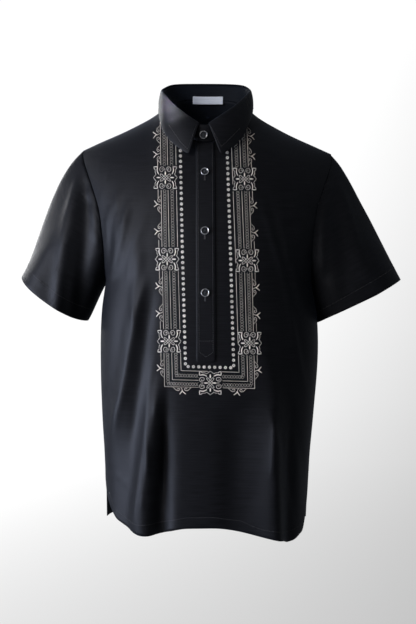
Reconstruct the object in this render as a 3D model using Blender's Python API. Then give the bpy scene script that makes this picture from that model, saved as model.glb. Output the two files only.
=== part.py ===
"""A short-sleeved barong tagalog shirt, filled out as if it were worn.

Metres, +Z up. The front faces -Y and the wearer's left side is +X. The origin is the point
between the shoulders where the shirt hangs from its wearer. The body is a row of oval rings
that close over the shoulders, and each piece of cloth is a wall on that shape.
"""
from bisect import bisect
from collections import namedtuple
from math import acos, atan2, cos, degrees, hypot, pi, radians, sin

import bmesh
import bpy
from mathutils import Vector

# Cloth
CLOTH = 0.0012
STIFF_CLOTH = 0.0015
SEAM_GAP = 0.0003
SLEEVE_GAP = 0.0005

# Heights
HEM = -0.700
VENT_TOP = -0.610
ARMPIT = -0.296
YOKE = -0.240

# Shoulders and neck
SHOULDER_HALF = 0.217
SHOULDER_HEIGHT = -0.066
NECK_HALF = 0.0745
NECK_SIDE_HEIGHT = 0.007
NECK_FRONT_DEPTH = 0.075
NECK_BACK_DEPTH = 0.062

# The body's plan is an oval, and its top closes over the shoulders on a rounder curve
OVAL_POWER = 2.4

# The whole shirt stands slightly turned, and the side at +X sits lower from the waist up
TURN = 0.05
SIDE_DROP = 0.006
DROP_FROM = -0.776
DROP_FULL = -0.536

# Placket
SLOT_HALF = 0.0125
SLOT_BOTTOM = -0.425
BAND_HALF = 0.01575
BAND_BOTTOM = -0.4275
BAND_POINT = 0.004
UNDER_BAND_HALF = 0.0150
UNDER_BAND_BOTTOM = -0.421
BAND_TOP_LEVEL = 1.987

# Collar
STAND_CLOTH = 0.0016
STAND_OVERLAP_STEP = 0.0019
STAND_DROP_FROM_FOLD = 0.0034
STAND_INSIDE_FOLD = 0.0021

# Buttons, named by their height on the front
BUTTON_RADIUS = 0.00675
BUTTON_HEIGHT = 0.0026
BUTTON_DISH = 0.0006
BUTTON_SIDES = 20
BUTTON_HEIGHTS = (-0.0530, -0.1190, -0.2175, -0.3170)
BUTTON_SHIFT = -0.0012

# Blank label
LABEL_HALF = 0.0285
LABEL_TOP = 0.0425
LABEL_BOTTOM = 0.0285
LABEL_CLOTH = 0.0008

FRONT = -1
BACK = 1
DOME_POWER = {FRONT: 1.6, BACK: 1.8}

# How much higher the closing curve would reach at the middle of the neck than at its side
NECK_RIDGE_RISE = {FRONT: 0.0, BACK: 0.093}
NECK_RIDGE_POWER = 3
NECK_POWER = {FRONT: 2.0, BACK: 2.3}

Ring = namedtuple("Ring", "height half_width front_depth back_depth")
RINGS = (
    Ring(-0.720, 0.1745, 0.125, 0.112),
    Ring(-0.620, 0.1768, 0.126, 0.111),
    Ring(-0.580, 0.1785, 0.127, 0.110),
    Ring(-0.540, 0.1820, 0.128, 0.110),
    Ring(-0.500, 0.1846, 0.129, 0.111),
    Ring(-0.450, 0.1877, 0.130, 0.112),
    Ring(-0.400, 0.1890, 0.130, 0.113),
    Ring(-0.345, 0.1870, 0.131, 0.114),
    Ring(-0.320, 0.1835, 0.131, 0.115),
    Ring(ARMPIT, 0.1795, 0.131, 0.115),
    Ring(-0.270, 0.1840, 0.130, 0.116),
    Ring(YOKE, 0.1900, 0.128, 0.116),
)

# Above the yoke line a section is named by its share of the way over the shoulder
Over = namedtuple("Over", "share half_width front_edge back_edge")
SHOULDER_SECTIONS = (
    Over(0.00, 0.1900, 0.1750, 0.1795),
    Over(0.25, 0.2020, 0.1800, 0.1880),
    Over(0.50, 0.2155, 0.2010, 0.2050),
    Over(0.75, 0.2225, 0.2150, 0.2160),
    Over(1.00, 0.2260, SHOULDER_HALF, SHOULDER_HALF),
)

# The shoulder seam from the neck to the armhole
Shoulder = namedtuple("Shoulder", "out height")
SHOULDER_LINE = (
    Shoulder(NECK_HALF, NECK_SIDE_HEIGHT),
    Shoulder(0.0800, 0.0010),
    Shoulder(0.0870, -0.0045),
    Shoulder(0.0980, -0.0105),
    Shoulder(0.1150, -0.0195),
    Shoulder(0.1280, -0.0262),
    Shoulder(0.1520, -0.0375),
    Shoulder(0.1850, -0.0515),
    Shoulder(SHOULDER_HALF, SHOULDER_HEIGHT),
)

# Half width of the cut cloth between the armpit and the yoke line
Scoop = namedtuple("Scoop", "height front_edge back_edge")
ARMHOLE_SCOOP = (
    Scoop(ARMPIT, 0.1795, 0.1795),
    Scoop(-0.288, 0.1777, 0.1783),
    Scoop(-0.270, 0.1762, 0.1783),
    Scoop(YOKE, 0.1750, 0.1795),
)

# How far the hem of the front lies from its mean height, across the front
HemPoint = namedtuple("HemPoint", "share rise")
FRONT_HEM = (
    HemPoint(-1.00, 0.0140),
    HemPoint(-0.87, 0.0075),
    HemPoint(-0.81, 0.0010),
    HemPoint(-0.72, -0.0070),
    HemPoint(-0.61, -0.0115),
    HemPoint(-0.42, -0.0090),
    HemPoint(-0.30, -0.0030),
    HemPoint(-0.15, 0.0020),
    HemPoint(0.10, 0.0025),
    HemPoint(0.30, -0.0025),
    HemPoint(0.46, -0.0115),
    HemPoint(0.68, -0.0215),
    HemPoint(0.77, -0.0285),
    HemPoint(0.84, -0.0275),
    HemPoint(0.92, -0.0195),
    HemPoint(1.00, -0.0130),
)
BACK_HEM_RISE = -0.006
HEM_REACH = 0.35

# Where the middle of the shirt lies at each height
Middle = namedtuple("Middle", "height shift")
MIDDLE_LINE = (
    Middle(-0.720, -0.0035),
    Middle(-0.600, -0.0010),
    Middle(-0.500, 0.0010),
    Middle(-0.400, 0.0035),
    Middle(-0.200, 0.0025),
    Middle(-0.100, 0.0005),
    Middle(-0.030, -0.0030),
    Middle(0.080, -0.0030),
)

# How far the cloth draws back from the side line in the vents, in degrees of the oval: at -X, at +X
VENT_DRAW = {FRONT: (32.0, 20.0), BACK: (2.0, 2.0)}
VENT_POWER = 1.4

Fold = namedtuple("Fold", "name side x_top z_top x_low z_low wide_top wide_low rise bow")
BODY_FOLDS = (
    Fold("long left", FRONT, -0.103, -0.288, -0.155, -0.600, 0.014, 0.018, 0.0075, -0.006),
    Fold("lobe left", FRONT, -0.085, -0.400, -0.130, -0.900, 0.018, 0.040, 0.0190, 0.000),
    Fold("hollow left", FRONT, -0.074, -0.460, -0.068, -0.900, 0.018, 0.030, -0.0130, 0.000),
    Fold("lobe right", FRONT, 0.086, -0.430, 0.106, -0.900, 0.022, 0.042, 0.0220, 0.000),
    Fold("hollow right", FRONT, 0.132, -0.470, 0.142, -0.900, 0.012, 0.022, -0.0090, 0.000),
    Fold("long right", FRONT, 0.070, -0.340, 0.140, -0.640, 0.014, 0.018, 0.0045, 0.004),
    Fold("arm drag left 1", FRONT, -0.138, -0.150, -0.165, -0.240, 0.009, 0.010, 0.0040, 0.004),
    Fold("arm drag left 2", FRONT, -0.124, -0.165, -0.162, -0.300, 0.011, 0.011, 0.0050, 0.005),
    Fold("arm drag left 3", FRONT, -0.110, -0.215, -0.126, -0.390, 0.013, 0.015, 0.0045, 0.003),
    Fold("arm drag right 1", FRONT, 0.142, -0.155, 0.168, -0.250, 0.009, 0.010, 0.0040, -0.004),
    Fold("arm drag right 2", FRONT, 0.120, -0.180, 0.158, -0.330, 0.012, 0.012, 0.0050, -0.005),
    Fold("back left", BACK, -0.052, -0.330, -0.074, -0.900, 0.016, 0.034, 0.0090, 0.004),
    Fold("back right", BACK, 0.064, -0.300, 0.090, -0.900, 0.016, 0.036, 0.0100, -0.003),
    Fold("back hollow", BACK, 0.010, -0.400, 0.006, -0.900, 0.020, 0.036, -0.0060, 0.000),
    Fold("back side left", BACK, -0.118, -0.300, -0.140, -0.700, 0.013, 0.018, 0.0060, 0.004),
    Fold("back side right", BACK, 0.122, -0.330, 0.142, -0.760, 0.013, 0.018, 0.0050, 0.000),
    Fold("back drag left", BACK, -0.110, -0.170, -0.156, -0.290, 0.012, 0.012, 0.0045, 0.004),
    Fold("back drag right", BACK, 0.116, -0.160, 0.158, -0.280, 0.012, 0.012, 0.0045, -0.004),
)
FOLD_FADE = 0.32
EDGE_HOLD = 10

# Cuffs: the far corner and the corner nearest the body, the half depth from front to back,
# how much further down the arm the front and the back of the hem reach, and how far the top
# of the sleeve carries on along the shoulder's slope
Cuff = namedtuple("Cuff", "name side far_x far_z near_x near_z half_depth front_reach back_reach"
                  " leave")
CUFFS = (
    Cuff("sleeve_right", -1, -0.3260, -0.2835, -0.2120, -0.3630, 0.058, 0.0115, 0.0040, 0.90),
    Cuff("sleeve_left", 1, 0.3335, -0.2850, 0.1990, -0.3610, 0.060, 0.0010, 0.0020, 0.28),
)
SLEEVE_RINGS = (0.0, 0.10, 0.22, 0.35, 0.49, 0.63, 0.76, 0.88, 1.0)
SLEEVE_ARRIVE = 0.55
SHOULDER_FOLLOW = 0.75

# Sleeve folds run down the arm at an angle round it: 0 is on top, 90 in front, 180 under
ArmFold = namedtuple("ArmFold", "side start_deg end_deg start end half_deg rise")
ARM_FOLDS = (
    ArmFold(-1, 48.0, 66.0, 0.05, 1.10, 15.0, 0.0050),
    ArmFold(-1, 84.0, 104.0, 0.10, 0.90, 14.0, 0.0040),
    ArmFold(-1, 72.0, 84.0, 0.35, 1.20, 12.0, -0.0040),
    ArmFold(-1, -60.0, -75.0, 0.10, 1.10, 16.0, 0.0045),
    ArmFold(-1, -105.0, -110.0, 0.30, 1.20, 14.0, 0.0035),
    ArmFold(1, 44.0, 58.0, 0.08, 1.10, 16.0, 0.0045),
    ArmFold(1, 88.0, 112.0, 0.12, 0.95, 14.0, 0.0045),
    ArmFold(1, 66.0, 80.0, 0.40, 1.20, 12.0, -0.0035),
    ArmFold(1, -52.0, -66.0, 0.12, 1.10, 16.0, 0.0045),
    ArmFold(1, -98.0, -108.0, 0.30, 1.15, 14.0, 0.0035),
)

# Collar leaf from its front corner to the middle of the back: the fold and the outer edge
Leaf = namedtuple("Leaf", "fold_x fold_y fold_z edge_x edge_y edge_z")
COLLAR_LEAF = (
    Leaf(0.0075, 0.0800, -0.0330, 0.0265, 0.0960, -0.0885),
    Leaf(0.0295, 0.0750, -0.0175, 0.0480, 0.0860, -0.0730),
    Leaf(0.0540, 0.0590, 0.0030, 0.0680, 0.0700, -0.0480),
    Leaf(0.0700, 0.0350, 0.0240, 0.0785, 0.0440, -0.0175),
    Leaf(0.0768, 0.0180, 0.0345, 0.0818, 0.0240, -0.0040),
    Leaf(0.0785, 0.0020, 0.0420, 0.0820, 0.0030, 0.0060),
    Leaf(0.0765, -0.0260, 0.0510, 0.0818, -0.0310, 0.0100),
    Leaf(0.0680, -0.0460, 0.0610, 0.0745, -0.0560, 0.0145),
    Leaf(0.0420, -0.0640, 0.0670, 0.0470, -0.0780, 0.0220),
    Leaf(0.0000, -0.0700, 0.0685, 0.0000, -0.0850, 0.0235),
)
LEAF_STATIONS = 33

# Across the leaf: share of the way to the edge, and the roll over the stand at its start
Roll = namedtuple("Roll", "share outward upward")
LEAF_ROLL = (
    Roll(0.00, -0.0036, -0.0010),
    Roll(0.00, -0.0018, 0.0000),
    Roll(0.00, 0.0000, -0.0012),
    Roll(0.08, 0.0008, 0.0000),
    Roll(0.32, 0.0022, 0.0000),
    Roll(0.66, 0.0022, 0.0000),
    Roll(1.00, 0.0000, 0.0000),
)

# Degrees of the oval from the side line at which the panels have a column of points, outside
# the neck, and degrees round the neck oval inside it
SIDE_COLUMNS = (0.0, 5.0, 10.0, 15.0, 20.0, 25.0, 30.0, 35.0, 40.0, 45.0, 50.0, 55.0, 60.0)
NECK_COLUMNS = (0.0, 15.0, 30.0, 45.0, 59.0, 70.0)
LOWER_ROWS = (
    HEM, -0.682, -0.660, -0.636, VENT_TOP, -0.580, -0.550, -0.520, -0.490, -0.458, SLOT_BOTTOM,
    -0.395, -0.365, -0.335, -0.312, ARMPIT, -0.288, -0.273, -0.257, YOKE,
)
UPPER_ROWS = (0.14, 0.28, 0.42, 0.56, 0.70, 0.82, 0.92, 1.0)

# Working steps: closeness of shared points, the reach used to find a surface's direction,
# rounds of the search for a width, and the closest a band's row may lie to its end
SAME_POINT = 1e-6
NEAR_STEP = 0.004
RING_STEP = 0.01
SEARCH_ROUNDS = 12
SEAT_STEPS = 400
ROW_CLEAR = 0.004
SHARP_ANGLE = radians(50)

BLACK_CLOTH = (0.010, 0.011, 0.015)
INSIDE_CLOTH = (0.011, 0.013, 0.020)
LABEL_COLOUR = (0.55, 0.60, 0.68)
BUTTON_COLOUR = (0.05, 0.05, 0.055)


def curve(keys, values):
    """A smooth line through the points of a table, which never overshoots them."""
    steps = [after - before for before, after in zip(keys, keys[1:])]
    rates = [(after - before) / step for before, after, step in zip(values, values[1:], steps)]
    slopes = [rates[0]]
    for before, after in zip(rates, rates[1:]):
        slopes.append(0.0 if before * after <= 0 else 2 * before * after / (before + after))
    slopes.append(rates[-1])

    def at(key):
        key = min(max(key, keys[0]), keys[-1])
        i = min(max(bisect(keys, key) - 1, 0), len(steps) - 1)
        t = (key - keys[i]) / steps[i]
        start = (1 + 2 * t) * (1 - t) ** 2 * values[i] + t * (1 - t) ** 2 * steps[i] * slopes[i]
        end = t * t * (3 - 2 * t) * values[i + 1] + t * t * (t - 1) * steps[i] * slopes[i + 1]
        return start + end

    return at


def columns_of(table, key, *fields):
    """One smooth line for each named column of a table."""
    keys = [getattr(row, key) for row in table]
    return [curve(keys, [getattr(row, field) for row in table]) for field in fields]


ring_width, ring_front, ring_back = columns_of(RINGS, "height", "half_width", "front_depth",
                                               "back_depth")
over_width, over_front, over_back = columns_of(SHOULDER_SECTIONS, "share", "half_width",
                                               "front_edge", "back_edge")
scoop_front, scoop_back = columns_of(ARMHOLE_SCOOP, "height", "front_edge", "back_edge")
(front_hem_rise,) = columns_of(FRONT_HEM, "share", "rise")
(middle_shift,) = columns_of(MIDDLE_LINE, "height", "shift")
(shoulder_line,) = columns_of(SHOULDER_LINE, "out", "height")

RING_DEPTH = {FRONT: ring_front, BACK: ring_back}
OVER_EDGE = {FRONT: over_front, BACK: over_back}
SCOOP_EDGE = {FRONT: scoop_front, BACK: scoop_back}
NECK_DEPTH = {FRONT: NECK_FRONT_DEPTH, BACK: NECK_BACK_DEPTH}

# Share of the panel's half width whose columns run into the neck
NECK_SHARE = 0.5


def ease(share):
    """From 0 to 1 with a soft start and end."""
    share = min(max(share, 0.0), 1.0)
    return share * share * (3 - 2 * share)


def oval(share):
    """Depth of the body's oval where its width is this share of the widest."""
    return max(0.0, 1 - abs(share) ** OVAL_POWER) ** (1 / OVAL_POWER)


def ridge_height(side, x):
    """Height at which the body would close over the shoulders, at one width."""
    if abs(x) >= NECK_HALF:
        return shoulder_line(abs(x))
    rise = NECK_RIDGE_RISE[side] * (1 - (abs(x) / NECK_HALF) ** NECK_RIDGE_POWER)
    return NECK_SIDE_HEIGHT + rise


def closing_angle(side, x):
    """How far round the closing curve the cloth is cut: a quarter turn outside the neck."""
    power = NECK_POWER[side]
    depth = NECK_DEPTH[side] * max(0.0, 1 - (abs(x) / NECK_HALF) ** power) ** (1 / power)
    full = RING_DEPTH[side](YOKE) * oval(x / over_width(1.0))
    return acos((depth / full) ** (DOME_POWER[side] / 2))


def neck_point(side, x):
    """Point of the neck seam at one width, before the shirt is turned."""
    power = 2 / DOME_POWER[side]
    angle = closing_angle(side, x)
    depth = RING_DEPTH[side](YOKE) * oval(x / over_width(1.0)) * max(0.0, cos(angle)) ** power
    height = YOKE + (ridge_height(side, x) - YOKE) * sin(angle) ** power
    return Vector((x, side * depth, height))


def level_height(level):
    """Levels 0 to 1 run from the hem to the yoke line."""
    return HEM + (YOKE - HEM) * min(level, 1.0)


def cut_edge(side, level):
    """Half width of the cut panel: the side seam, and the armhole above it."""
    if level > 1:
        return OVER_EDGE[side](level - 1)
    height = level_height(level)
    return ring_width(height) if height <= ARMPIT else SCOOP_EDGE[side](height)


def vent_share(side, share, level):
    """Share of the width at a point, drawn back from the side line in the vent."""
    down = max(0.0, (VENT_TOP - level_height(level)) / (VENT_TOP - HEM))
    draw = radians(VENT_DRAW[side][share > 0]) * down ** VENT_POWER
    angle = acos(min(1.0, abs(share) ** (OVAL_POWER / 2)))
    drawn = draw + angle * (1 - draw / (pi / 2))
    return cos(drawn) ** (2 / OVAL_POWER) * (1 if share >= 0 else -1)


def top_width(share):
    """Where a column of the panel ends, on the neck seam or on the shoulder seam."""
    if abs(share) < NECK_SHARE:
        return NECK_HALF * sin(pi / 2 * share / NECK_SHARE)
    out = (abs(share) - NECK_SHARE) / (1 - NECK_SHARE)
    return (NECK_HALF + (SHOULDER_HALF - NECK_HALF) * out) * (1 if share > 0 else -1)


def share_at(side, x, level):
    """The share of the panel's width that lies at a wanted width."""
    share = x / cut_edge(side, level)
    for _ in range(SEARCH_ROUNDS if x else 0):
        share *= x / smooth_body(side, share, level).x
    return share


def smooth_body(side, share, level):
    """Point of the smooth body: a share of the cut width, and a level above the hem."""
    if level <= 1:
        share = vent_share(side, share, level)
        height = level_height(level)
        x = share * cut_edge(side, level)
        depth = RING_DEPTH[side](height) * oval(x / ring_width(height))
        rise = front_hem_rise(share) if side == FRONT else BACK_HEM_RISE
        height += rise * max(0.0, 1 - level / HEM_REACH) ** 1.5
        return Vector((x, side * depth, height))
    over = level - 1
    power = 2 / DOME_POWER[side]
    x_end = top_width(share)
    x = share * cut_edge(side, level) + (x_end - share * SHOULDER_HALF) * over ** 2
    angle = over * (closing_angle(side, x_end) if abs(share) < NECK_SHARE else pi / 2)
    depth = RING_DEPTH[side](YOKE) * oval(x / over_width(over)) * max(0.0, cos(angle)) ** power
    height = YOKE + (ridge_height(side, x) - YOKE) * sin(angle) ** power
    return Vector((x, side * depth, height))


def normal_of(surface, share, level, out):
    """Outward direction of a surface at a point, from its neighbours."""
    share_a, share_b = max(share - NEAR_STEP, -1.0), min(share + NEAR_STEP, 1.0)
    level_a, level_b = max(level - NEAR_STEP, 0.0), min(level + NEAR_STEP, 2.0)
    across = surface(share_b, level) - surface(share_a, level)
    up = surface(share, level_b) - surface(share, level_a)
    return (across.cross(up) * out).normalized()


def fold_rise(side, point):
    """How far the folds lift the cloth at a point of the smooth body."""
    rise = 0.0
    for fold in BODY_FOLDS:
        down = (fold.z_top - point.z) / (fold.z_top - fold.z_low)
        if fold.side != side or not 0 < down < 1:
            continue
        middle = fold.x_top + (fold.x_low - fold.x_top) * down + fold.bow * 4 * down * (1 - down)
        wide = fold.wide_top + (fold.wide_low - fold.wide_top) * down
        off = (point.x - middle) / wide
        if abs(off) < 1:
            fade = ease(down / FOLD_FADE) * ease((1 - down) / FOLD_FADE)
            rise += fold.rise * fade * cos(off * pi / 2) ** 2
    return rise


def body(side, share, level):
    """Point of the folded cloth of the front or the back."""
    point = smooth_body(side, share, level)
    rise = fold_rise(side, point) * (1 - abs(share) ** EDGE_HOLD)
    if rise:
        point += rise * normal_of(lambda s, v: smooth_body(side, s, v), share, level, -side)
    point.y += side * SEAM_GAP / 2
    return point


def body_normal(side, share, level):
    """Outward direction of the folded cloth."""
    return normal_of(lambda s, v: body(side, s, v), share, level, -side)


def seam_normal(side, share, level, point):
    """The outward direction, square to the seam where the front meets the back."""
    normal = body_normal(side, share, level)
    if abs(point.y) < SEAM_GAP:
        normal.y = 0
    return normal.normalized()


def settle(point):
    """Turn and lean the finished shape as the whole shirt stands."""
    drop = ease(point.x / SHOULDER_HALF) * ease((point.z - DROP_FROM) / (DROP_FULL - DROP_FROM))
    lean = middle_shift(point.z) + TURN * point.y
    return Vector((point.x + lean, point.y, point.z - SIDE_DROP * drop))


def material(name, colour, roughness, metallic=0.0):
    made = bpy.data.materials.new(name)
    made.use_nodes = True
    shader = made.node_tree.nodes["Principled BSDF"]
    shader.inputs["Base Color"].default_value = (*colour, 1.0)
    shader.inputs["Roughness"].default_value = roughness
    shader.inputs["Metallic"].default_value = metallic
    return made


def add_object(name, bm, finish):
    bm.normal_update()
    bmesh.ops.recalc_face_normals(bm, faces=bm.faces)
    mesh = bpy.data.meshes.new(name)
    bm.to_mesh(mesh)
    bm.free()
    mesh.shade_smooth()
    mesh.set_sharp_from_angle(angle=SHARP_ANGLE)
    mesh.materials.append(finish)
    made = bpy.data.objects.new(name, mesh)
    bpy.context.scene.collection.objects.link(made)
    return made


def cloth_wall(name, outer, inner, finish, tube=False, slot=None):
    """A closed wall between two grids of points, open where the slot says."""
    rows, columns = len(outer), len(outer[0])
    bm = bmesh.new()
    bmesh.ops.create_grid(bm, x_segments=columns - 1, y_segments=rows - 1, size=0.5)
    place = bm.verts.layers.int.new("place")
    for vert in bm.verts:
        column = round((vert.co.x + 0.5) * (columns - 1))
        row = round((vert.co.y + 0.5) * (rows - 1))
        vert[place] = row * columns + column
    if slot:
        low_row, left, right = slot
        cut = [face for face in bm.faces
               if all(vert[place] // columns >= low_row for vert in face.verts)
               and all(left <= vert[place] % columns <= right for vert in face.verts)]
        bmesh.ops.delete(bm, geom=cut, context="FACES")
    for vert in bm.verts:
        vert.co = settle(outer[vert[place] // columns][vert[place] % columns])
    if tube:
        bmesh.ops.remove_doubles(bm, verts=bm.verts, dist=SAME_POINT)
    raised = bmesh.ops.extrude_face_region(bm, geom=bm.faces[:], use_keep_orig=True)
    for item in raised["geom"]:
        if isinstance(item, bmesh.types.BMVert):
            item.co = settle(inner[item[place] // columns][item[place] % columns])
    return add_object(name, bm, finish)


def neck_columns():
    """Degrees round the neck seam of each column of points, the last at the slot's edge."""
    return (*NECK_COLUMNS, degrees(acos(SLOT_HALF / NECK_HALF)))


def panel_shares():
    """Shares of the width at which a panel has its columns, from left to right."""
    half = [cos(radians(angle)) ** (2 / OVAL_POWER) for angle in SIDE_COLUMNS]
    half += [NECK_SHARE * (1 - angle / 90) for angle in neck_columns()]
    return [-share for share in half] + half[::-1]


def panel_levels():
    lower = [(height - HEM) / (YOKE - HEM) for height in LOWER_ROWS]
    return lower + [1 + share for share in UPPER_ROWS]


def make_panel(name, side, finish):
    shares, levels = panel_shares(), panel_levels()
    outer = [[body(side, share, level) for share in shares] for level in levels]
    inner = [[point - CLOTH * seam_normal(side, share, level, point)
              for share, point in zip(shares, row)] for level, row in zip(levels, outer)]
    middle = len(shares) // 2
    slot = (LOWER_ROWS.index(SLOT_BOTTOM), middle - 1, middle) if side == FRONT else None
    return cloth_wall(name, outer, inner, finish, slot=slot)


def make_band(name, half, bottom, point_drop, lift, finish):
    """A placket band made from the front's own points, moved out or in by lift."""
    levels = [level for level in panel_levels() if level_height(level) > bottom + ROW_CLEAR]
    levels = [(bottom - HEM) / (YOKE - HEM)] + levels[:-1] + [BAND_TOP_LEVEL]
    outer, inner = [], []
    for level in levels:
        row = []
        for x in (-half, 0.0, half):
            share = share_at(FRONT, x, level)
            down = point_drop / (YOKE - HEM) if level == levels[0] and x == 0 else 0.0
            place = body(FRONT, share, level - down)
            row.append((place, body_normal(FRONT, share, level)))
        outer.append([place + (lift + CLOTH) * normal for place, normal in row])
        inner.append([place + lift * normal for place, normal in row])
    return cloth_wall(name, outer, inner, finish)


def armhole(side, end):
    """Points and outward directions up one armhole edge of a panel, from the armpit."""
    first = (ARMPIT - HEM) / (YOKE - HEM)
    levels = [level for level in panel_levels() if level >= first - SAME_POINT]
    return [(body(side, end, level), body_normal(side, end, level)) for level in levels]


def arm_rise(side, angle, down):
    """How far the folds lift a sleeve at an angle round it and a share of the way down."""
    rise = 0.0
    for fold in ARM_FOLDS:
        share = (down - fold.start) / (fold.end - fold.start)
        if fold.side != side or not 0 < share < 1:
            continue
        middle = fold.start_deg + (fold.end_deg - fold.start_deg) * share
        off = (angle - middle) / fold.half_deg
        if abs(off) < 1:
            fade = ease(share / FOLD_FADE) * ease((1 - share) / FOLD_FADE)
            rise += fold.rise * fade * cos(off * pi / 2) ** 2
    return rise


def armhole_ring(end):
    """The armhole as one ring from the armpit up the front and down the back, with angles."""
    front, back = armhole(FRONT, end), armhole(BACK, end)
    ring = []
    for side, run in ((FRONT, front), (BACK, back)):
        lengths = [0.0]
        for before, after in zip(run, run[1:]):
            lengths.append(lengths[-1] + (after[0] - before[0]).length)
        angles = [180.0 * (1 - length / lengths[-1]) * -side for length in lengths]
        ring.append([(angle, *place) for angle, place in zip(angles, run)])
    front, back = ring
    back = back[::-1]
    shoulder = (0.0, (front[-1][1] + back[0][1]) / 2, (front[-1][2] + back[0][2]).normalized())
    armpit = (180.0, (front[0][1] + back[-1][1]) / 2, (front[0][2] + back[-1][2]).normalized())
    last = (-180.0, armpit[1], armpit[2])
    return [armpit] + front[1:-1] + [shoulder] + back[1:-1] + [last]


def make_sleeve(cuff, finish):
    """A tube from the armhole to the cuff, leaving the shoulder along its slope."""
    ring = armhole_ring(cuff.side)
    far = Vector((cuff.far_x, 0.0, cuff.far_z))
    near = Vector((cuff.near_x, 0.0, cuff.near_z))
    across = (far - near) / 2
    down_arm = Vector((-across.z, 0.0, across.x)).normalized() * -cuff.side
    slope = Vector((cuff.side * (SHOULDER_HALF - NECK_HALF), 0.0,
                    SHOULDER_HEIGHT - NECK_SIDE_HEIGHT)).normalized()

    def surface(index, down):
        angle, start, normal = ring[index]
        turn = radians(angle)
        reach = cuff.front_reach if angle > 0 else cuff.back_reach
        end = (far + near) / 2 + across * cos(turn) - Vector((0, cuff.half_depth * sin(turn), 0))
        end += down_arm * reach * abs(sin(turn))
        follow = SHOULDER_FOLLOW * (1 + cos(turn)) / 2
        leave = (down_arm * (1 - follow) + slope * follow).normalized()
        start = start + leave * SLEEVE_GAP
        length = (end - start).length
        t = down
        point = (1 + 2 * t) * (1 - t) ** 2 * start + t * t * (3 - 2 * t) * end
        point += t * (1 - t) ** 2 * cuff.leave * length * leave
        point += t * t * (t - 1) * SLEEVE_ARRIVE * length * down_arm
        return point

    count = len(ring) - 1

    def outward(index, down, place):
        before, after = place((index - 1) % count, down), place((index + 1) % count, down)
        low = place(index % count, max(down - RING_STEP, 0))
        high = place(index % count, min(down + RING_STEP, 1))
        return ((after - before).cross(high - low) * -cuff.side).normalized()

    def folded(index, down):
        point = surface(index, down)
        rise = arm_rise(cuff.side, ring[index][0], down)
        return point + rise * outward(index, down, surface)

    outer = [[folded(index % count, down) for index in range(count + 1)] for down in SLEEVE_RINGS]
    inner = [[point - CLOTH * outward(index % count, down, folded)
              for index, point in enumerate(row)] for down, row in zip(SLEEVE_RINGS, outer)]
    return cloth_wall(cuff.name, outer, inner, finish, tube=True)


def leaf_curves():
    """The columns of the collar leaf by plan angle, once round from the middle of the front."""
    angles = [plan_angle(leaf.fold_x, leaf.fold_y) for leaf in COLLAR_LEAF]
    whole = [leaf._replace(fold_x=-leaf.fold_x, edge_x=-leaf.edge_x) for leaf in COLLAR_LEAF]
    whole += COLLAR_LEAF[-2::-1]
    keys = angles + [2 * pi - angle for angle in angles[-2::-1]]
    return keys, [curve(keys, [getattr(leaf, field) for leaf in whole]) for field in Leaf._fields]


def plan_angle(x, forward):
    """Angle seen from above, from the middle of the front."""
    return atan2(abs(x), forward)


def make_leaf(name, finish):
    keys, lines = leaf_curves()

    def surface(angle, roll):
        fold_x, fold_y, fold_z, edge_x, edge_y, edge_z = (line(angle) for line in lines)
        fold = Vector((fold_x, -fold_y, fold_z))
        edge = Vector((edge_x, -edge_y, edge_z))
        outward = Vector((fold_x, -fold_y, 0)).normalized()
        point = fold.lerp(edge, roll.share) + outward * roll.outward
        return point + Vector((0, 0, roll.upward))

    step = (keys[-1] - keys[0]) / (LEAF_STATIONS - 1)
    angles = [keys[0] + step * index for index in range(LEAF_STATIONS)]
    outer = [[surface(angle, roll) for angle in angles] for roll in LEAF_ROLL]
    inner = offset_grid(outer, STIFF_CLOTH)
    return cloth_wall(name, outer, inner, finish)


def offset_grid(grid, thickness):
    """The grid moved inwards, against its own outward direction."""
    rows, columns = len(grid), len(grid[0])
    moved = []
    for i, row in enumerate(grid):
        moved.append([])
        for j, point in enumerate(row):
            up = grid[min(i + 1, rows - 1)][j] - grid[max(i - 1, 0)][j]
            across = row[min(j + 1, columns - 1)] - row[max(j - 1, 0)]
            moved[-1].append(point - across.cross(up).normalized() * thickness)
    return moved


def fold_at(x, forward):
    """Radius and height of the leaf's fold above a point of the neck seam."""
    keys, lines = leaf_curves()
    angle = plan_angle(x, forward)
    fold_x, fold_y, fold_z = (line(angle) for line in lines[:3])
    return hypot(fold_x, fold_y), fold_z


def stand_stations():
    """Neck seam points once round, from the under end to the over end of the stand."""
    half = [NECK_HALF * cos(radians(angle)) for angle in neck_columns()]
    right_front = [neck_point(FRONT, x) for x in half[::-1]]
    right_back = [neck_point(BACK, x) for x in half[1:]]
    mirror = Vector((-1, 1, 1))
    left = [point * mirror for point in right_front + right_back]
    middle = neck_point(FRONT, 0.0)
    knots = [right_front[0], middle] + left + (right_front + right_back)[::-1] + [middle, left[0]]
    stations = [knots[0]]
    for before, after in zip(knots, knots[1:]):
        stations += [(before + after) / 2, after]
    return stations


def make_stand(name, finish):
    base = stand_stations()
    count = len(base) - 1
    rows = (0.0, 0.45, 1.0)
    outer, inner = [[] for _ in rows], [[] for _ in rows]
    for index, seam in enumerate(base):
        radius, height = fold_at(seam.x, -seam.y)
        outward = Vector((seam.x, seam.y, 0)).normalized()
        turned = 2 * index / count - 1
        step = STAND_OVERLAP_STEP / 2 * (ease(turned) - ease(-turned))
        top = outward * (radius - STAND_INSIDE_FOLD)
        top.z = height - STAND_DROP_FROM_FOLD
        low = seam + Vector((0, 0, SEAM_GAP)) + outward * SEAM_GAP / 2
        for row, share in enumerate(rows):
            point = low.lerp(top, share) + outward * step
            outer[row].append(point)
            inner[row].append(point - outward * STAND_CLOTH)
    return cloth_wall(name, outer, inner, finish)


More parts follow.
